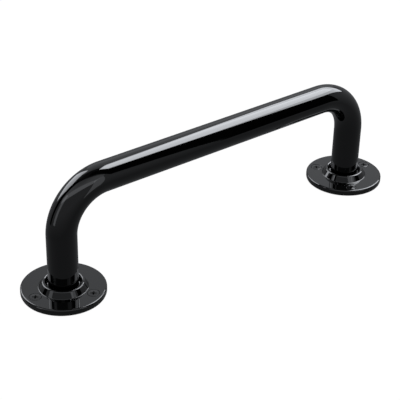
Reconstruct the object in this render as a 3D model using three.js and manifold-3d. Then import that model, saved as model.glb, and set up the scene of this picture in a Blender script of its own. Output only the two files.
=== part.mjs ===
// Fixed assist rail: one bent steel tube held between two screw-down flanges.
//
// Frame: millimetres. The origin lies on the mounting surface, midway between the flanges.
// +Z points away from the mounting surface, +X runs along the rail from the left flange to the
// right one, and the rail is the same on both sides of X = 0 and of Y = 0.

import * as THREE from 'three';
import { mergeVertices } from 'three/addons/utils/BufferGeometryUtils.js';
import Module from 'manifold-3d';

const wasm = await Module();
wasm.setup();

// Clearance between pieces that touch.
const GAP = 0.3;

// Rail tube: 32 mm steel tube, bent twice through a right angle.
const LEG_SPACING = 400;
const BAR_HEIGHT = 118.5;
const TUBE_R = 16;
const TUBE_WALL = 1.5;
const BEND_R = 51.2;

// Seal pad between each flange and the mounting surface.
const PAD_R = 44.2;
const PAD_THICK = 1.0;
const PAD_BORE_R = 9.5;
const PAD_HOLE_R = 3.6;

// Flange plate, its fillets and the countersunk screw holes in it.
const FLANGE_R = 44.6;
const FLANGE_BASE = PAD_THICK + GAP;
const PLATE_TOP = 6.8;
const EDGE_FILLET = 1.8;
const BASE_CHAMFER = 0.4;

// Conical hub that stands round the foot of each leg.
const HUB_SLOPE = THREE.MathUtils.degToRad(58);
const HUB_FILLET = 1.0;
const RIM_R = 20.7;
const RIM_ROUND = 1.9;
const RIM_TOP = 13.5;
const GROOVE_TOP_R = 18.7;
const GROOVE_ROUND = 2.4;

// Spigot that rises inside the leg, with the bore for the hub bolt.
const SEAT_Z = 5.0;
const SPIGOT_TOP = 22;
const SPIGOT_CHAMFER = 0.8;
const HEAD_SEAT_Z = 13;
const HEAD_BORE_R = 7.5;

// M8 cap-head hub bolt, its spring washer and the threaded end plug.
const BOLT_R = 4;
const BOLT_LENGTH = 30;
const BOLT_TIP_CHAMFER = 1;
const BOLT_HEAD_R = 6.5;
const BOLT_HEAD_HEIGHT = 8;
const HEX_ACROSS_FLATS = 6;
const HEX_DEPTH = 4;
const WASHER_R = 7.1;
const WASHER_THICK = 2;
const WASHER_SPLIT = 0.13;
const PLUG_LENGTH = 20;
const PLUG_CHAMFER = 1;

// M6 countersunk fixing screws, three to a flange.
const SCREW_CIRCLE_R = 34;
const SCREW_R = 3;
const SCREW_HEAD_R = 6.1;
const SCREW_HEAD_SINK = 0.1;
const SCREW_HEAD_LAND = 0.6;
const SINK_R = 6.5;
const SINK_LAND = 0.7;
const CROSS_SPAN = 6.4;
const CROSS_FLOOR_SPAN = 3.8;
const CROSS_BLADE = 1.4;
const CROSS_DEPTH = 2.8;
const CROSS_TURN = -0.68;

// Facet counts.
const TUBE_FACETS = 32;
const BEND_STEPS = 10;
const FLANGE_FACETS = 44;
const PAD_FACETS = 32;
const SMALL_FACETS = 20;
const ARC_DIVISIONS = 2;

// Two legs, two halves of the bar and two bends make up the rail's steps.
const RAIL_STEPS = 4 + 2 * BEND_STEPS;

const TUBE_BORE_R = TUBE_R - TUBE_WALL;
const SPIGOT_R = TUBE_BORE_R - GAP;
const BOLT_BORE_R = BOLT_R + GAP;
const SCREW_BORE_R = SCREW_R + GAP;
const WASHER_Z = HEAD_SEAT_Z - GAP - WASHER_THICK;
const BOLT_HEAD_TOP = WASHER_Z - GAP;

const MATERIALS = {
  coat: new THREE.MeshStandardMaterial({ color: 0x0a0a0b, roughness: 0.08, metalness: 0.0 }),
  screw: new THREE.MeshStandardMaterial({ color: 0x101012, roughness: 0.2, metalness: 0.3 }),
  steel: new THREE.MeshStandardMaterial({ color: 0xb8bbc0, roughness: 0.35, metalness: 1.0 }),
  rubber: new THREE.MeshStandardMaterial({ color: 0x08080a, roughness: 0.8, metalness: 0.0 }),
};

// ---- Solids ------------------------------------------------------------------------------

// A closed geometry as a solid: only its positions are kept, and triangles that close up to a
// line on an axis are dropped.
function toSolid(geometry) {
  const bare = geometry.clone();
  bare.deleteAttribute('normal');
  bare.deleteAttribute('uv');
  const merged = mergeVertices(bare);
  const index = merged.index.array;
  const triVerts = [];
  for (let i = 0; i < index.length; i += 3) {
    const corners = index.slice(i, i + 3);
    if (new Set(corners).size === 3) triVerts.push(...corners);
  }
  const vertProperties = merged.attributes.position.array;
  const mesh = new wasm.Mesh({ numProp: 3, vertProperties, triVerts: new Uint32Array(triVerts) });
  return new wasm.Manifold(mesh);
}

function toGeometry(solid) {
  const { vertProperties, triVerts } = solid.getMesh();
  const geometry = new THREE.BufferGeometry();
  geometry.setAttribute('position', new THREE.BufferAttribute(vertProperties, 3));
  geometry.setIndex(new THREE.BufferAttribute(triVerts, 1));
  geometry.computeVertexNormals();
  return geometry;
}

// The base geometry with every cutter taken away from it.
function cut(base, cutters) {
  const solid = cutters.reduce((left, cutter) => left.subtract(toSolid(cutter)), toSolid(base));
  return toGeometry(solid);
}

// Turns an outline drawn as (radius, height) about the Z axis.
function revolve(outline, facets) {
  const points = outline.getPoints(ARC_DIVISIONS);
  return new THREE.LatheGeometry(points, facets).rotateX(Math.PI / 2);
}

// ---- Rail tube ---------------------------------------------------------------------------

// Centre line of the tube: up the left leg, round a bend, along the bar, round the other bend
// and down the right leg. Each leg and each half of the bar takes one step, and each bend
// BEND_STEPS of them.
class RailLine extends THREE.Curve {
  getPoint(t, target = new THREE.Vector3()) {
    const steps = t * RAIL_STEPS;
    const half = RAIL_STEPS / 2;
    const side = steps < half ? -1 : 1;
    const fromFoot = half - Math.abs(steps - half);
    return this.halfPoint(fromFoot, side, target);
  }

  // The point that many steps up from a leg's foot, on the side -1 (left) or 1 (right).
  halfPoint(step, side, target) {
    const legX = LEG_SPACING / 2;
    const bendX = legX - BEND_R;
    const bendZ = BAR_HEIGHT - BEND_R;
    if (step <= 1) {
      return target.set(side * legX, 0, THREE.MathUtils.lerp(SEAT_Z + GAP, bendZ, step));
    }
    if (step <= 1 + BEND_STEPS) {
      const angle = ((step - 1) / BEND_STEPS) * (Math.PI / 2);
      const x = bendX + BEND_R * Math.cos(angle);
      return target.set(side * x, 0, bendZ + BEND_R * Math.sin(angle));
    }
    const along = step - 1 - BEND_STEPS;
    return target.set(side * THREE.MathUtils.lerp(bendX, 0, along), 0, BAR_HEIGHT);
  }

  // Steps are counted, not measured, so that the straights stay in one piece.
  getUtoTmapping(u) {
    return u;
  }
}

function ringShape(outerR, innerR) {
  const shape = new THREE.Shape().absarc(0, 0, outerR, 0, 2 * Math.PI, false);
  shape.holes.push(new THREE.Path().absarc(0, 0, innerR, 0, 2 * Math.PI, true));
  return shape;
}

function railTube() {
  return new THREE.ExtrudeGeometry(ringShape(TUBE_R, TUBE_BORE_R), {
    extrudePath: new RailLine(),
    steps: RAIL_STEPS,
    curveSegments: TUBE_FACETS / 2,
    bevelEnabled: false,
  });
}

// ---- Flange ------------------------------------------------------------------------------

// Half section of the flange, run round its outside: edge, plate top, hub cone, rounded rim,
// groove beside the tube, tube seat, spigot, bolt bore, underside.
function flangeOutline() {
  const outline = new THREE.Path();
  const edgeR = FLANGE_R - EDGE_FILLET;
  const edgeZ = PLATE_TOP - EDGE_FILLET;
  outline.moveTo(FLANGE_R - BASE_CHAMFER, FLANGE_BASE);
  outline.lineTo(FLANGE_R, FLANGE_BASE + BASE_CHAMFER);
  outline.absarc(edgeR, edgeZ, EDGE_FILLET, 0, Math.PI / 2, false);
  addHub(outline);
  addSpigot(outline);
  outline.lineTo(FLANGE_R - BASE_CHAMFER, FLANGE_BASE);
  return outline;
}

// The cone is tangent to the rim's round at its top and to the foot's fillet at its bottom.
function addHub(outline) {
  const rimZ = RIM_TOP - RIM_ROUND;
  const coneR = RIM_R + RIM_ROUND / Math.sin(HUB_SLOPE) + (rimZ - PLATE_TOP) / Math.tan(HUB_SLOPE);
  const filletR = coneR + HUB_FILLET * Math.tan(HUB_SLOPE / 2);
  const filletZ = PLATE_TOP + HUB_FILLET;
  outline.absarc(filletR, filletZ, HUB_FILLET, -Math.PI / 2, -Math.PI / 2 - HUB_SLOPE, true);
  outline.absarc(RIM_R, rimZ, RIM_ROUND, Math.PI / 2 - HUB_SLOPE, Math.PI, false);
  const grooveR = TUBE_R + GAP;
  const grooveZ = PLATE_TOP + GROOVE_ROUND;
  outline.lineTo(GROOVE_TOP_R, grooveZ);
  outline.absarc(grooveR, grooveZ, GROOVE_ROUND, 0, -Math.PI / 2, true);
}

function addSpigot(outline) {
  outline.lineTo(TUBE_R + GAP, SEAT_Z);
  outline.lineTo(SPIGOT_R, SEAT_Z);
  outline.lineTo(SPIGOT_R, SPIGOT_TOP - SPIGOT_CHAMFER);
  outline.lineTo(SPIGOT_R - SPIGOT_CHAMFER, SPIGOT_TOP);
  outline.lineTo(BOLT_BORE_R, SPIGOT_TOP);
  outline.lineTo(BOLT_BORE_R, HEAD_SEAT_Z);
  outline.lineTo(HEAD_BORE_R, HEAD_SEAT_Z);
  outline.lineTo(HEAD_BORE_R, FLANGE_BASE);
}

// Cutter for one screw hole: a clearance hole, a 90 degree countersink and a short straight
// wall above it, which leaves a narrow groove round the screw head.
function screwHole({ x, y }) {
  const overrun = 1;
  const sinkTop = PLATE_TOP - SINK_LAND;
  const outline = new THREE.Path();
  outline.moveTo(0, FLANGE_BASE - overrun);
  outline.lineTo(SCREW_BORE_R, FLANGE_BASE - overrun);
  outline.lineTo(SCREW_BORE_R, sinkTop - (SINK_R - SCREW_BORE_R));
  outline.lineTo(SINK_R, sinkTop);
  outline.lineTo(SINK_R, PLATE_TOP + overrun);
  outline.lineTo(0, PLATE_TOP + overrun);
  return revolve(outline, SMALL_FACETS).translate(x, y, 0);
}

function flange(screwPlaces) {
  return cut(revolve(flangeOutline(), FLANGE_FACETS), screwPlaces.map(screwHole));
}

// ---- Seal pad ----------------------------------------------------------------------------

function wallPad(screwPlaces) {
  const shape = ringShape(PAD_R, PAD_BORE_R);
  for (const { x, y } of screwPlaces) {
    shape.holes.push(new THREE.Path().absarc(x, y, PAD_HOLE_R, 0, 2 * Math.PI, true));
  }
  const options = { depth: PAD_THICK, curveSegments: PAD_FACETS / 2, bevelEnabled: false };
  return new THREE.ExtrudeGeometry(shape, options);
}

// ---- Hub bolt, washer and plug -------------------------------------------------------------

// The bolt goes in from the back, so its head is at the bottom and its tip at the top.
function hubBolt() {
  const headBottom = BOLT_HEAD_TOP - BOLT_HEAD_HEIGHT;
  const tip = BOLT_HEAD_TOP + BOLT_LENGTH;
  const outline = new THREE.Path();
  outline.moveTo(0, headBottom);
  outline.lineTo(BOLT_HEAD_R, headBottom);
  outline.lineTo(BOLT_HEAD_R, BOLT_HEAD_TOP);
  outline.lineTo(BOLT_R, BOLT_HEAD_TOP);
  outline.lineTo(BOLT_R, tip - BOLT_TIP_CHAMFER);
  outline.lineTo(BOLT_R - BOLT_TIP_CHAMFER, tip);
  outline.lineTo(0, tip);
  const hexR = HEX_ACROSS_FLATS / Math.sqrt(3);
  const hex = new THREE.CylinderGeometry(hexR, hexR, 2 * HEX_DEPTH, 6).rotateX(Math.PI / 2);
  return cut(revolve(outline, SMALL_FACETS), [hex.translate(0, 0, headBottom)]);
}

// Split ring, drawn flat as it is when the bolt is tight.
function springWasher() {
  const shape = new THREE.Shape();
  shape.absarc(0, 0, WASHER_R, WASHER_SPLIT, 2 * Math.PI - WASHER_SPLIT, false);
  shape.absarc(0, 0, BOLT_BORE_R, 2 * Math.PI - WASHER_SPLIT, WASHER_SPLIT, true);
  const options = { depth: WASHER_THICK, curveSegments: SMALL_FACETS / 2, bevelEnabled: false };
  return new THREE.ExtrudeGeometry(shape, options).translate(0, 0, WASHER_Z);
}

// Threaded plug fixed in the leg, just above the flange's spigot.
function endPlug() {
  const low = SPIGOT_TOP + GAP;
  const high = low + PLUG_LENGTH;
  const outline = new THREE.Path();
  outline.moveTo(BOLT_BORE_R, low);
  outline.lineTo(SPIGOT_R - PLUG_CHAMFER, low);
  outline.lineTo(SPIGOT_R, low + PLUG_CHAMFER);
  outline.lineTo(SPIGOT_R, high - PLUG_CHAMFER);
  outline.lineTo(SPIGOT_R - PLUG_CHAMFER, high);
  outline.lineTo(BOLT_BORE_R, high);
  outline.lineTo(BOLT_BORE_R, low);
  return revolve(outline, TUBE_FACETS);
}

// ---- Fixing screw --------------------------------------------------------------------------

// One blade of the cross recess: wide at the top of the head and narrow at its floor.
function crossBlade(top, turn) {
  const shape = new THREE.Shape();
  shape.moveTo(-CROSS_FLOOR_SPAN / 2, -CROSS_DEPTH);
  shape.lineTo(CROSS_FLOOR_SPAN / 2, -CROSS_DEPTH);
  shape.lineTo(CROSS_SPAN / 2, 0);
  shape.lineTo(CROSS_SPAN / 2, GAP);
  shape.lineTo(-CROSS_SPAN / 2, GAP);
  shape.lineTo(-CROSS_SPAN / 2, 0);
  const blade = new THREE.ExtrudeGeometry(shape, { depth: CROSS_BLADE, bevelEnabled: false });
  blade.translate(0, 0, -CROSS_BLADE / 2).rotateX(Math.PI / 2);
  return blade.rotateZ(turn).translate(0, 0, top);
}

// Countersunk screw. Its shank stops just above the mounting surface, where the wall plug or
// the timber takes over.
function fixingScrew() {
  const top = PLATE_TOP - SCREW_HEAD_SINK;
  const coneTop = top - SCREW_HEAD_LAND;
  const outline = new THREE.Path();
  outline.moveTo(0, GAP);
  outline.lineTo(SCREW_R, GAP);
  outline.lineTo(SCREW_R, coneTop - (SCREW_HEAD_R - SCREW_R));
  outline.lineTo(SCREW_HEAD_R, coneTop);
  outline.lineTo(SCREW_HEAD_R, top);
  outline.lineTo(0, top);
  const blades = [crossBlade(top, CROSS_TURN), crossBlade(top, CROSS_TURN + Math.PI / 2)];
  return cut(revolve(outline, SMALL_FACETS), blades);
}

// ---- Assembly ------------------------------------------------------------------------------

// Three screws at equal angles: one points outwards along the rail, two lie beside the leg.
function screwPlaces(side) {
  const inward = -side * SCREW_CIRCLE_R * Math.cos(Math.PI / 3);
  const across = SCREW_CIRCLE_R * Math.sin(Math.PI / 3);
  return [
    { name: 'outer', x: side * SCREW_CIRCLE_R, y: 0 },
    { name: 'front', x: inward, y: -across },
    { name: 'back', x: inward, y: across },
  ];
}

function part(name, geometry, material, x = 0, y = 0) {
  const mesh = new THREE.Mesh(geometry, material);
  mesh.name = name;
  mesh.position.set(x, y, 0);
  return mesh;
}

// One end of the rail: the pad, flange, bolt, washer, plug and screws round one leg.
function railEnd(label, side) {
  const places = screwPlaces(side);
  const end = new THREE.Group();
  end.position.x = (side * LEG_SPACING) / 2;
  end.add(part(`${label}_wall_pad`, wallPad(places), MATERIALS.rubber));
  end.add(part(`${label}_flange`, flange(places), MATERIALS.coat));
  end.add(part(`${label}_end_plug`, endPlug(), MATERIALS.steel));
  end.add(part(`${label}_spring_washer`, springWasher(), MATERIALS.steel));
  end.add(part(`${label}_hub_bolt`, hubBolt(), MATERIALS.steel));
  for (const { name, x, y } of places) {
    end.add(part(`${label}_screw_${name}`, fixingScrew(), MATERIALS.screw, x, y));
  }
  return end;
}

const rail = new THREE.Group();
rail.add(part('rail_tube', railTube(), MATERIALS.coat));
rail.add(railEnd('left', -1));
rail.add(railEnd('right', 1));

export default rail;
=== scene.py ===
"""Looks of the fixed assist rail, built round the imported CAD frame. Metres, +Z up.

Every CAD piece that shows is replaced by a smooth piece of the same size, because a gloss
black coat mirrors each facet. The pieces inside the legs keep their CAD shape.
"""

import math

import bmesh
import bpy
from mathutils import Matrix, Vector


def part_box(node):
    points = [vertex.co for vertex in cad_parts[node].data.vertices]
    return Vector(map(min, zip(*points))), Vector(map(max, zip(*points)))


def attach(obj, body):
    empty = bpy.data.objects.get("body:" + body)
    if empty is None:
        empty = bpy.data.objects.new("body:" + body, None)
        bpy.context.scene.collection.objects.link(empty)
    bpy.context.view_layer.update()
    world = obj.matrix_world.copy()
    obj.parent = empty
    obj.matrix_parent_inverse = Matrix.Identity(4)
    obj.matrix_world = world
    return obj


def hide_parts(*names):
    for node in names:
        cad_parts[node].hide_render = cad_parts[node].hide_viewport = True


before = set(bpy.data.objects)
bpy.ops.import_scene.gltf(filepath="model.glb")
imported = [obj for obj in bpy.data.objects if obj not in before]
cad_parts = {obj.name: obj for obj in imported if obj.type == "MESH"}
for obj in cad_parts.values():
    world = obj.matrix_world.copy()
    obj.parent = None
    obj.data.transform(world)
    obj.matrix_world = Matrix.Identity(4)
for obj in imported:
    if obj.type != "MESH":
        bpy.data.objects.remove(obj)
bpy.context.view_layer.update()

MM = 0.001
SIDES = (("left", -1), ("right", 1))
SCREWS = ("outer", "front", "back")

# Rail: sizes from the CAD box of the tube; the bend and the wall aren't in a box.
TUBE_LOW, TUBE_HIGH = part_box("rail_tube")
TUBE_R = (TUBE_HIGH.y - TUBE_LOW.y) / 2
LEG_X = TUBE_HIGH.x - TUBE_R
BAR_Z = TUBE_HIGH.z - TUBE_R
BEND_R = 51.2 * MM
BEND_MARGIN = 1 * MM
TUBE_WALL = 1.5 * MM

# Flange: radius and heights from its CAD box, fillets and hub as in the design.
PAD_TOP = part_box("right_wall_pad")[1].z
FLANGE_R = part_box("right_flange")[1].x - LEG_X
SPIGOT_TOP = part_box("right_flange")[1].z
HEAD_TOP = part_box("right_screw_outer")[1].z
HEAD_SINK = 0.1 * MM
PLATE_TOP = HEAD_TOP + HEAD_SINK
EDGE_FILLET = 1.8 * MM
BASE_FILLET = 0.4 * MM
HUB_FILLET = 1.0 * MM
HUB_SLOPE = math.radians(58)
RIM_R = 20.7 * MM
RIM_ROUND = 1.9 * MM
RIM_TOP = 13.5 * MM
GROOVE_TOP_R = 18.7 * MM
GROOVE_ROUND = 2.4 * MM
SPIGOT_GAP = 0.3 * MM
SPIGOT_CHAMFER = 0.8 * MM
BOLT_BORE_R = 4.3 * MM
HEAD_BORE_R = 7.5 * MM
HEAD_SEAT_Z = 13 * MM
# Width of the narrow ring that keeps the plate flat in the shading right up to its fillets.
FLAT_MARGIN = 0.1 * MM

# Screws and the holes they sit in. The crosses' turn is in radians.
SCREW_R = 3 * MM
HEAD_R = (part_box("right_screw_outer")[1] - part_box("right_screw_outer")[0]).y / 2
HEAD_LAND = 0.6 * MM
HEAD_ROUND = 0.12 * MM
SINK_R = 6.5 * MM
SINK_LAND = 0.7 * MM
HOLE_R = 3.3 * MM
SOFT_EDGE = 0.1 * MM
CROSS_SPAN = 6.4 * MM
CROSS_FLOOR_SPAN = 3.8 * MM
CROSS_BLADE = 1.4 * MM
CROSS_FLOOR_BLADE = 0.8 * CROSS_BLADE
CROSS_DEPTH = 2.8 * MM
CROSS_TURN = -0.68
DIMPLE_R = 1.6 * MM
DIMPLE_FLOOR_R = 1.1 * MM
DIMPLE_TIP = 0.5 * MM

# Seal pads.
PAD_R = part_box("right_wall_pad")[1].x - LEG_X
PAD_ROUND = 0.25 * MM
PAD_BORE_R = 9.5 * MM
PAD_HOLE_R = 3.6 * MM

# How far the cutters stand out of what they cut, and the turn of the hole cutters in steps.
HALF_STEP = 0.5
HOLE_OVER = 2 * MM
CROSS_OVER = 0.5 * MM
DIMPLE_OVER = 0.3 * MM

# Mesh density, with the steps of each rounding, and the angle from which an edge is sharp.
TUBE_SIDES = 96
BEND_STEPS = 48
FLANGE_SIDES = 144
SCREW_SIDES = 48
DIMPLE_SIDES = 24
HUB_FILLET_STEPS = 8
GROOVE_STEPS = 8
BASE_FILLET_STEPS = 5
EDGE_FILLET_STEPS = 14
RIM_STEPS = 18
PAD_ROUND_STEPS = 4
HEAD_ROUND_STEPS = 3
SHARP = math.radians(32)
WELD = 1e-7
ON_AXIS = 1e-9


# ---- Mesh helpers ------------------------------------------------------------------------


def arc(center, radius, start, end, steps):
    """Points of an arc in the (radius, height) plane, angles in degrees."""
    r, z = center
    angles = [math.radians(start + (end - start) * i / steps) for i in range(steps + 1)]
    return [(r + radius * math.cos(a), z + radius * math.sin(a)) for a in angles]


def mesh_object(name, verts, faces):
    mesh = bpy.data.meshes.new(name)
    mesh.from_pydata([tuple(v) for v in verts], [], faces)
    mesh.validate()
    obj = bpy.data.objects.new(name, mesh)
    bpy.context.scene.collection.objects.link(obj)
    return obj


def clean(obj):
    """One closed, outward skin, smooth except along its sharp edges."""
    bm = bmesh.new()
    bm.from_mesh(obj.data)
    bmesh.ops.remove_doubles(bm, verts=bm.verts, dist=WELD)
    bmesh.ops.recalc_face_normals(bm, faces=bm.faces)
    for face in bm.faces:
        face.smooth = True
    for edge in bm.edges:
        edge.smooth = len(edge.link_faces) == 2 and edge.calc_face_angle(0) < SHARP
    bm.to_mesh(obj.data)
    bm.free()
    return obj


def revolve(name, outline, sides, at=(0, 0), offset=0.0):
    """Turns a closed (radius, height) outline about a vertical axis at the point at. The offset
    turns its corners, as a share of the step between two of them."""
    rings = []
    verts = []
    for r, z in outline:
        if r < ON_AXIS:
            rings.append([len(verts)] * sides)
            verts.append((at[0], at[1], z))
            continue
        rings.append(list(range(len(verts), len(verts) + sides)))
        turns = [2 * math.pi * (i + offset) / sides for i in range(sides)]
        verts += [(at[0] + r * math.cos(a), at[1] + r * math.sin(a), z) for a in turns]
    faces = []
    for k, ring in enumerate(rings):
        following = rings[(k + 1) % len(rings)]
        for i in range(sides):
            j = (i + 1) % sides
            corners = list(dict.fromkeys((ring[i], ring[j], following[j], following[i])))
            if len(corners) > 2:
                faces.append(corners)
    return mesh_object(name, verts, faces)


def cut(obj, cutters):
    """Takes each cutter away from obj and deletes it."""
    for cutter in cutters:
        clean(cutter)
        step = obj.modifiers.new("cut", "BOOLEAN")
        step.operation = "DIFFERENCE"
        step.solver = "EXACT"
        step.object = cutter
    bpy.context.view_layer.update()
    shaped = obj.evaluated_get(bpy.context.evaluated_depsgraph_get())
    mesh = bpy.data.meshes.new_from_object(shaped)
    obj.modifiers.clear()
    obj.data = mesh
    for cutter in cutters:
        bpy.data.objects.remove(cutter)
    return obj


def screw_place(label, name):
    low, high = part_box(f"{label}_screw_{name}")
    return ((low.x + high.x) / 2, (low.y + high.y) / 2)


def drill(obj, label, outline):
    """Cuts one side's three screw holes. The cutters are turned half a step, so that their
    corners don't land on those of what they cut."""
    places = [screw_place(label, name) for name in SCREWS]
    cut(obj, [revolve("hole_cutter", outline, SCREW_SIDES, at, HALF_STEP) for at in places])
    return clean(obj)


def show(obj, node, material):
    """obj takes a CAD node's place on the rail and gets its finish."""
    obj.data.materials.clear()
    obj.data.materials.append(material)
    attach(obj, "root")
    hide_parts(node)


# ---- Materials ---------------------------------------------------------------------------


class Finish:
    """A Principled material and short ways to add nodes to it."""

    def __init__(self, name, roughness, metallic=0.0):
        self.material = bpy.data.materials.new(name)
        self.material.use_nodes = True
        self.tree = self.material.node_tree
        self.shader = self.tree.nodes["Principled BSDF"]
        self.shader.inputs["Roughness"].default_value = roughness
        self.shader.inputs["Metallic"].default_value = metallic
        self.place = self.tree.nodes.new("ShaderNodeTexCoord").outputs["Object"]

    def noise(self, scale, detail=3.0, stretch=(1, 1, 1)):
        mapping = self.tree.nodes.new("ShaderNodeMapping")
        mapping.inputs["Scale"].default_value = stretch
        node = self.tree.nodes.new("ShaderNodeTexNoise")
        node.inputs["Scale"].default_value = scale
        node.inputs["Detail"].default_value = detail
        self.tree.links.new(self.place, mapping.inputs["Vector"])
        self.tree.links.new(mapping.outputs["Vector"], node.inputs["Vector"])
        return node.outputs["Fac"]

    def ramp(self, value, source, target):
        """Maps the range source of a value to the range target, and clamps it there."""
        node = self.tree.nodes.new("ShaderNodeMapRange")
        node.inputs["From Min"].default_value = source[0]
        node.inputs["From Max"].default_value = source[1]
        node.inputs["To Min"].default_value = target[0]
        node.inputs["To Max"].default_value = target[1]
        self.tree.links.new(value, node.inputs["Value"])
        return node.outputs["Result"]

    def add(self, a, b):
        node = self.tree.nodes.new("ShaderNodeMath")
        node.operation = "ADD"
        self.tree.links.new(a, node.inputs[0])
        self.tree.links.new(b, node.inputs[1])
        return node.outputs["Value"]

    def color(self, factor, dark, light):
        node = self.tree.nodes.new("ShaderNodeMix")
        node.data_type = "RGBA"
        node.inputs["A"].default_value = (*dark, 1)
        node.inputs["B"].default_value = (*light, 1)
        self.tree.links.new(factor, node.inputs["Factor"])
        self.tree.links.new(node.outputs["Result"], self.shader.inputs["Base Color"])

    def roughness(self, value):
        self.tree.links.new(value, self.shader.inputs["Roughness"])

    def bump(self, height, depth):
        """Tilts the shading as if the height, from 0 to 1, raised the surface by up to depth."""
        node = self.tree.nodes.new("ShaderNodeBump")
        node.inputs["Distance"].default_value = depth
        self.tree.links.new(height, node.inputs["Height"])
        self.tree.links.new(node.outputs["Normal"], self.shader.inputs["Normal"])


def gloss_black_coat():
    """High-gloss black coat: faint orange peel, a haze of handling marks and small dull specks."""
    finish = Finish("gloss_black_coat", roughness=0.04)
    haze = finish.noise(38, detail=5)
    finish.color(haze, (0.0002, 0.0002, 0.0002), (0.0005, 0.0005, 0.0005))
    smears = finish.ramp(haze, (0.45, 0.75), (0.02, 0.07))
    specks = finish.ramp(finish.noise(900, detail=2), (0.68, 0.8), (0.0, 0.05))
    finish.roughness(finish.add(smears, specks))
    finish.bump(finish.noise(310, detail=1), 0.006 * MM)
    return finish.material


def black_screw():
    """Black coated screws, a little duller than the tube, with a fine grain."""
    finish = Finish("black_screw", roughness=0.12)
    tint = finish.noise(700, detail=3)
    finish.color(tint, (0.0004, 0.0004, 0.0004), (0.001, 0.001, 0.001))
    finish.roughness(finish.ramp(tint, (0.3, 0.7), (0.08, 0.17)))
    finish.bump(finish.noise(1500, detail=2), 0.008 * MM)
    return finish.material


def seal_rubber():
    """Matt black rubber with a fine grain and a little bloom."""
    finish = Finish("seal_rubber", roughness=0.7)
    bloom = finish.noise(160, detail=4)
    finish.color(bloom, (0.003, 0.003, 0.003), (0.008, 0.008, 0.0085))
    finish.roughness(finish.ramp(bloom, (0.3, 0.7), (0.6, 0.85)))
    finish.bump(finish.noise(2600, detail=2), 0.03 * MM)
    return finish.material


def plain_steel():
    """Zinc plated steel: cloudy plating over turned marks."""
    finish = Finish("plain_steel", roughness=0.35, metallic=1.0)
    cloud = finish.noise(220, detail=4)
    finish.color(cloud, (0.42, 0.43, 0.45), (0.62, 0.63, 0.64))
    finish.roughness(finish.ramp(cloud, (0.3, 0.7), (0.26, 0.45)))
    finish.bump(finish.noise(300, detail=2, stretch=(1, 1, 14)), 0.02 * MM)
    return finish.material


# ---- Rail tube ---------------------------------------------------------------------------


def rail_line():
    """Centre line from the left foot to the right one, as (point, direction) pairs in X and Z.
    A point is kept close to each side of a bend's ends, so that the straights stay straight."""
    foot_z = TUBE_LOW.z
    bend_z = BAR_Z - BEND_R
    bend_x = LEG_X - BEND_R
    half = [((LEG_X, foot_z), 90), ((LEG_X, bend_z - BEND_MARGIN), 90)]
    for i in range(BEND_STEPS + 1):
        angle = 90 * i / BEND_STEPS
        turn = math.radians(angle)
        half.append(((bend_x + BEND_R * math.cos(turn), bend_z + BEND_R * math.sin(turn)), 90 + angle))
    half.append(((bend_x - BEND_MARGIN, BAR_Z), 180))
    left = [((-x, z), 180 - heading) for (x, z), heading in half]
    right = [((x, z), heading - 180) for (x, z), heading in reversed(half)]
    return left + right


def rail_tube():
    """Hollow tube: rings of its outer wall, then of its bore on the way back."""
    line = rail_line()
    stations = [(p, h, TUBE_R) for p, h in line]
    stations += [(p, h, TUBE_R - TUBE_WALL) for p, h in reversed(line)]
    verts = []
    for (x, z), heading, radius in stations:
        across = Vector((-math.sin(math.radians(heading)), 0, math.cos(math.radians(heading))))
        for i in range(TUBE_SIDES):
            turn = 2 * math.pi * i / TUBE_SIDES
            spoke = across * math.cos(turn) + Vector((0, math.sin(turn), 0))
            verts.append(Vector((x, 0, z)) + spoke * radius)
    faces = []
    for k in range(len(stations)):
        for i in range(TUBE_SIDES):
            j = (i + 1) % TUBE_SIDES
            here = k * TUBE_SIDES
            there = (k + 1) % len(stations) * TUBE_SIDES
            faces.append((here + i, here + j, there + j, there + i))
    return clean(mesh_object("coated_rail_tube", verts, faces))


# ---- Flange ------------------------------------------------------------------------------


def flange_outline():
    """Half section from the underside's edge, over the plate and the hub, down into the groove
    beside the leg, up the spigot and down its bolt bore."""
    slope = math.degrees(HUB_SLOPE)
    rim_z = RIM_TOP - RIM_ROUND
    cone_r = RIM_R + RIM_ROUND / math.sin(HUB_SLOPE) + (rim_z - PLATE_TOP) / math.tan(HUB_SLOPE)
    foot_r = cone_r + HUB_FILLET * math.tan(HUB_SLOPE / 2)
    groove_z = PLATE_TOP + GROOVE_ROUND
    spigot_r = TUBE_R - TUBE_WALL - SPIGOT_GAP
    seat_z = TUBE_LOW.z - SPIGOT_GAP
    edge_r = FLANGE_R - EDGE_FILLET
    base_r = FLANGE_R - BASE_FILLET
    outline = arc((base_r, PAD_TOP + BASE_FILLET), BASE_FILLET, -90, 0, BASE_FILLET_STEPS)
    outline += arc((edge_r, PLATE_TOP - EDGE_FILLET), EDGE_FILLET, 0, 90, EDGE_FILLET_STEPS)
    outline += [(edge_r - FLAT_MARGIN, PLATE_TOP), (foot_r + FLAT_MARGIN, PLATE_TOP)]
    outline += arc((foot_r, PLATE_TOP + HUB_FILLET), HUB_FILLET, -90, -90 - slope, HUB_FILLET_STEPS)
    outline += arc((RIM_R, rim_z), RIM_ROUND, 90 - slope, 180, RIM_STEPS)
    outline += arc((TUBE_R, groove_z), GROOVE_TOP_R - TUBE_R, 0, -90, GROOVE_STEPS)
    outline += [(TUBE_R, seat_z), (spigot_r, seat_z), (spigot_r, SPIGOT_TOP - SPIGOT_CHAMFER)]
    outline += [(spigot_r - SPIGOT_CHAMFER, SPIGOT_TOP), (BOLT_BORE_R, SPIGOT_TOP)]
    outline += [(BOLT_BORE_R, HEAD_SEAT_Z), (HEAD_BORE_R, HEAD_SEAT_Z), (HEAD_BORE_R, PAD_TOP)]
    return outline


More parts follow.
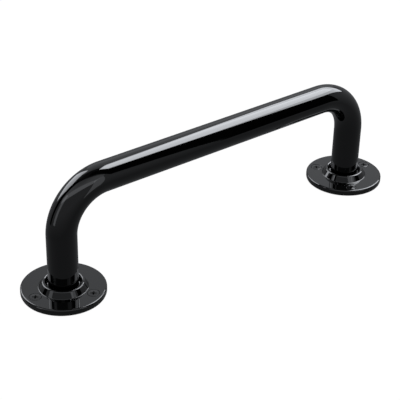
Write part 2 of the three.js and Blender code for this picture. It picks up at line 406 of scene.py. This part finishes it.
def sink_outline():
    """Clearance hole, 90 degree countersink and straight wall with a softened edge."""
    sink_top = PLATE_TOP - SINK_LAND
    over_z = PLATE_TOP + HOLE_OVER
    outline = [(0, -HOLE_OVER), (HOLE_R, -HOLE_OVER), (HOLE_R, sink_top - (SINK_R - HOLE_R))]
    outline += [(SINK_R, sink_top), (SINK_R, PLATE_TOP - SOFT_EDGE), (SINK_R + SOFT_EDGE, PLATE_TOP)]
    outline += [(SINK_R + SOFT_EDGE, over_z), (0, over_z)]
    return outline


def flange(label, side):
    obj = revolve(f"coated_{label}_flange", flange_outline(), FLANGE_SIDES, (side * LEG_X, 0))
    return drill(clean(obj), label, sink_outline())


def wall_pad(label, side):
    """Flat ring with rounded outer edges, a bore for the hub bolt's head and three screw holes."""
    round_r = PAD_R - PAD_ROUND
    over_z = PAD_TOP + HOLE_OVER
    outline = [(PAD_BORE_R, 0)]
    outline += arc((round_r, PAD_ROUND), PAD_ROUND, -90, 0, PAD_ROUND_STEPS)
    outline += arc((round_r, PAD_TOP - PAD_ROUND), PAD_ROUND, 0, 90, PAD_ROUND_STEPS)
    outline += [(PAD_BORE_R, PAD_TOP)]
    hole = [(0, -HOLE_OVER), (PAD_HOLE_R, -HOLE_OVER), (PAD_HOLE_R, over_z), (0, over_z)]
    obj = revolve(f"moulded_{label}_wall_pad", outline, FLANGE_SIDES, (side * LEG_X, 0))
    return drill(clean(obj), label, hole)


# ---- Screws ------------------------------------------------------------------------------


def cross_blade(at, turn):
    """Cutter for one wing pair of the cross recess, narrower at its floor."""
    floor = (-CROSS_DEPTH, CROSS_FLOOR_SPAN / 2, CROSS_FLOOR_BLADE / 2)
    mouth = (0, CROSS_SPAN / 2, CROSS_BLADE / 2)
    top = (CROSS_OVER, CROSS_SPAN / 2, CROSS_BLADE / 2)
    verts = []
    for z, x, y in (floor, mouth, top):
        verts += [(-x, -y, z), (x, -y, z), (x, y, z), (-x, y, z)]
    faces = [(3, 2, 1, 0), (8, 9, 10, 11)]
    for k in (0, 4):
        faces += [(k + i, k + (i + 1) % 4, k + 4 + (i + 1) % 4, k + 4 + i) for i in range(4)]
    place = Matrix.Translation((*at, HEAD_TOP)) @ Matrix.Rotation(turn, 4, "Z")
    return mesh_object("cross_cutter", [place @ Vector(v) for v in verts], faces)


def cross_dimple(at):
    """Cutter for the cone in the middle of the cross."""
    floor_z = HEAD_TOP - CROSS_DEPTH
    over_z = HEAD_TOP + DIMPLE_OVER
    outline = [(0, floor_z - DIMPLE_TIP), (DIMPLE_FLOOR_R, floor_z), (DIMPLE_R, over_z), (0, over_z)]
    return revolve("dimple_cutter", outline, DIMPLE_SIDES, at)


def screw(label, name):
    """Countersunk head with a soft rim and a cross recess, on a plain shank."""
    at = screw_place(label, name)
    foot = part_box(f"{label}_screw_{name}")[0].z
    land_z = HEAD_TOP - HEAD_LAND
    outline = [(0, foot), (SCREW_R, foot), (SCREW_R, land_z - (HEAD_R - SCREW_R))]
    outline += [(HEAD_R, land_z)]
    outline += arc((HEAD_R - HEAD_ROUND, HEAD_TOP - HEAD_ROUND), HEAD_ROUND, 0, 90, HEAD_ROUND_STEPS)
    outline += [(0, HEAD_TOP)]
    obj = clean(revolve(f"black_{label}_screw_{name}", outline, SCREW_SIDES, at))
    turns = (CROSS_TURN, CROSS_TURN + math.pi / 2)
    cut(obj, [cross_blade(at, turn) for turn in turns] + [cross_dimple(at)])
    return clean(obj)


# ---- Studio ------------------------------------------------------------------------------


# Softboxes as (azimuth, elevation, turn in their own plane, width, height, brightness). Angles
# are in degrees and azimuth 0 is +Y, 90 is +X. Widths and heights are shares of the distance.
# A core overlaps the box that it is named after and adds its brightness to it.
SOFTBOXES = {
    "key": (90, 46, 45, 0.8, 0.8, 7),
    "key_core": (90, 54, 45, 0.5, 0.5, 4),
    "rim": (-18, 35, -10, 0.7, 0.7, 5),
    "rim_core": (-18, 35, -10, 0.4, 0.4, 4),
    "back_fill": (40, 45, 0, 0.9, 1.0, 0.4),
    "overhead": (-130, 60, 0, 2.4, 0.6, 0.5),
    "overhead_core": (-130, 50, 0, 2.2, 0.25, 0.7),
    "left_strip": (-84, 20, 0, 0.25, 0.9, 1),
    "right_strip": (165, 15, 0, 0.25, 0.8, 0.8),
}
# Black cards between the softboxes, in the same terms.
CARDS = {
    "left_card": (-54, 30, 0, 0.3, 1.6),
    "right_card": (138, 40, 0, 0.35, 2.4),
}
# How far the softboxes and the cards stand from the origin, and the colour of the studio's light.
STUDIO_RADIUS = 5
CARD_RADIUS = 4
COOL_WHITE = (0.96, 0.99, 1.04)

# The dim room as (height, brightness), from straight down at 0 to straight up at 1.
ROOM = ((0.3, 0.17), (0.6, 0.35), (0.9, 0.35), (0.98, 0.05))

# The backdrop: a square floor just below the pads, and a dome that reaches below its level.
FLOOR_HALF = 12
FLOOR_Z = -0.3 * MM
FLOOR_GLOW = 0.98
DOME_R = FLOOR_HALF - 0.5
DOME_LOW = -30
DOME_STEPS = 24
DOME_SIDES = 48
DOME_BOTTOM = -FLOOR_HALF / 2
DOME_GLOW = 1.02
PAPER_SHADE = 0.02
PAPER_ROUGHNESS = 0.9

# Camera: the point it aims at, its distance from it, its turns in degrees and its lens.
AIM = (-22 * MM, 0, 46.2 * MM)
CAMERA_DISTANCE = 1335 * MM
CAMERA_HEADING = -39.2
CAMERA_DOWN = 30.6
CAMERA_ROLL = 1.4
SENSOR_MM = 36
LENS_MM = 110.2


def studio_place(azimuth, elevation, turn, distance):
    """Frame at a distance from the rail, facing it with its -Z side."""
    about = Matrix.Rotation(-math.radians(azimuth), 4, "Z")
    rise = Matrix.Rotation(math.radians(elevation - 90), 4, "X")
    spin = Matrix.Rotation(math.radians(turn), 4, "Z")
    return about @ rise @ spin @ Matrix.Translation((0, 0, distance))


def softbox(name, azimuth, elevation, turn, width, height, brightness):
    light = bpy.data.lights.new(name, "AREA")
    light.shape = "RECTANGLE"
    light.size = width * STUDIO_RADIUS
    light.size_y = height * STUDIO_RADIUS
    light.color = COOL_WHITE
    light.energy = brightness * math.pi * light.size * light.size_y
    obj = bpy.data.objects.new(name, light)
    bpy.context.scene.collection.objects.link(obj)
    obj.matrix_world = studio_place(azimuth, elevation, turn, STUDIO_RADIUS)
    obj.visible_camera = False


def black_card(name, azimuth, elevation, turn, width, height):
    """A card that shows only in the gloss of the rail."""
    x, y = width * CARD_RADIUS / 2, height * CARD_RADIUS / 2
    card = mesh_object(name, [(-x, -y, 0), (x, -y, 0), (x, y, 0), (-x, y, 0)], [(0, 1, 2, 3)])
    material = bpy.data.materials.new(name)
    material.use_nodes = True
    shader = material.node_tree.nodes["Principled BSDF"]
    shader.inputs["Base Color"].default_value = (0, 0, 0, 1)
    shader.inputs["Specular IOR Level"].default_value = 0.0
    card.data.materials.append(material)
    card.matrix_world = studio_place(azimuth, elevation, turn, CARD_RADIUS)
    for kind in ("visible_camera", "visible_diffuse", "visible_shadow"):
        setattr(card, kind, False)


def dim_room():
    """World light that is darker towards the floor and towards the ceiling."""
    world = bpy.data.worlds.new("studio")
    bpy.context.scene.world = world
    world.use_nodes = True
    tree = world.node_tree
    split = tree.nodes.new("ShaderNodeSeparateXYZ")
    tree.links.new(tree.nodes.new("ShaderNodeTexCoord").outputs["Generated"], split.inputs["Vector"])
    height = tree.nodes.new("ShaderNodeMapRange")
    height.inputs["From Min"].default_value = -1
    tree.links.new(split.outputs["Z"], height.inputs["Value"])
    ramp = tree.nodes.new("ShaderNodeValToRGB")
    tree.links.new(height.outputs["Result"], ramp.inputs["Fac"])
    while len(ramp.color_ramp.elements) < len(ROOM):
        ramp.color_ramp.elements.new(0.5)
    for stop, (place, level) in zip(ramp.color_ramp.elements, ROOM):
        stop.position = place
        stop.color = (*(level * share for share in COOL_WHITE), 1)
    tree.links.new(ramp.outputs["Color"], tree.nodes["Background"].inputs["Color"])


def studio():
    dim_room()
    for name, values in SOFTBOXES.items():
        softbox(name, *values)
    for name, values in CARDS.items():
        black_card(name, *values)
    bpy.context.scene.view_settings.view_transform = "Standard"


def paper(name, glow):
    """White paper that mostly glows by itself, so that it stays plain and almost unshaded."""
    material = bpy.data.materials.new(name)
    material.use_nodes = True
    shader = material.node_tree.nodes["Principled BSDF"]
    shader.inputs["Base Color"].default_value = (PAPER_SHADE, PAPER_SHADE, PAPER_SHADE, 1)
    shader.inputs["Roughness"].default_value = PAPER_ROUGHNESS
    shader.inputs["Specular IOR Level"].default_value = 0.0
    shader.inputs["Emission Color"].default_value = (1, 1, 1, 1)
    shader.inputs["Emission Strength"].default_value = glow
    return material


def backdrop():
    """Plain pale floor and a pale dome round it. Neither shows in the gloss of the rail, and the
    floor lies just below the pads, so that it doesn't share their undersides' plane."""
    signs = ((-1, -1), (1, -1), (1, 1), (-1, 1))
    corners = [(x * FLOOR_HALF, y * FLOOR_HALF, FLOOR_Z) for x, y in signs]
    floor = mesh_object("floor", corners, [(0, 1, 2, 3)])
    floor.data.materials.append(paper("floor_paper", FLOOR_GLOW))
    floor.visible_glossy = False
    outline = arc((0, 0), DOME_R, DOME_LOW, 90, DOME_STEPS) + [(0, DOME_BOTTOM)]
    dome = revolve("dome", outline, DOME_SIDES)
    dome.data.materials.append(paper("dome_paper", DOME_GLOW))
    for kind in ("visible_glossy", "visible_diffuse", "visible_shadow"):
        setattr(dome, kind, False)


def camera():
    """Looks down on the rail from in front of its left end."""
    data = bpy.data.cameras.new("camera")
    data.sensor_width = SENSOR_MM
    data.lens = LENS_MM
    obj = bpy.data.objects.new("camera", data)
    bpy.context.scene.collection.objects.link(obj)
    heading = Matrix.Rotation(math.radians(CAMERA_HEADING), 4, "Z")
    pitch = Matrix.Rotation(math.radians(90 - CAMERA_DOWN), 4, "X")
    roll = Matrix.Rotation(math.radians(CAMERA_ROLL), 4, "Z")
    back = Matrix.Translation((0, 0, CAMERA_DISTANCE))
    obj.matrix_world = Matrix.Translation(AIM) @ heading @ pitch @ roll @ back
    bpy.context.scene.camera = obj


# ---- Assembly ----------------------------------------------------------------------------


def rail():
    coat = gloss_black_coat()
    black = black_screw()
    rubber = seal_rubber()
    steel = plain_steel()
    show(rail_tube(), "rail_tube", coat)
    for label, side in SIDES:
        show(flange(label, side), f"{label}_flange", coat)
        show(wall_pad(label, side), f"{label}_wall_pad", rubber)
        for name in SCREWS:
            show(screw(label, name), f"{label}_screw_{name}", black)
        for inner in ("end_plug", "spring_washer", "hub_bolt"):
            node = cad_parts[f"{label}_{inner}"]
            node.data.materials.clear()
            node.data.materials.append(steel)


camera()
studio()
backdrop()
rail()
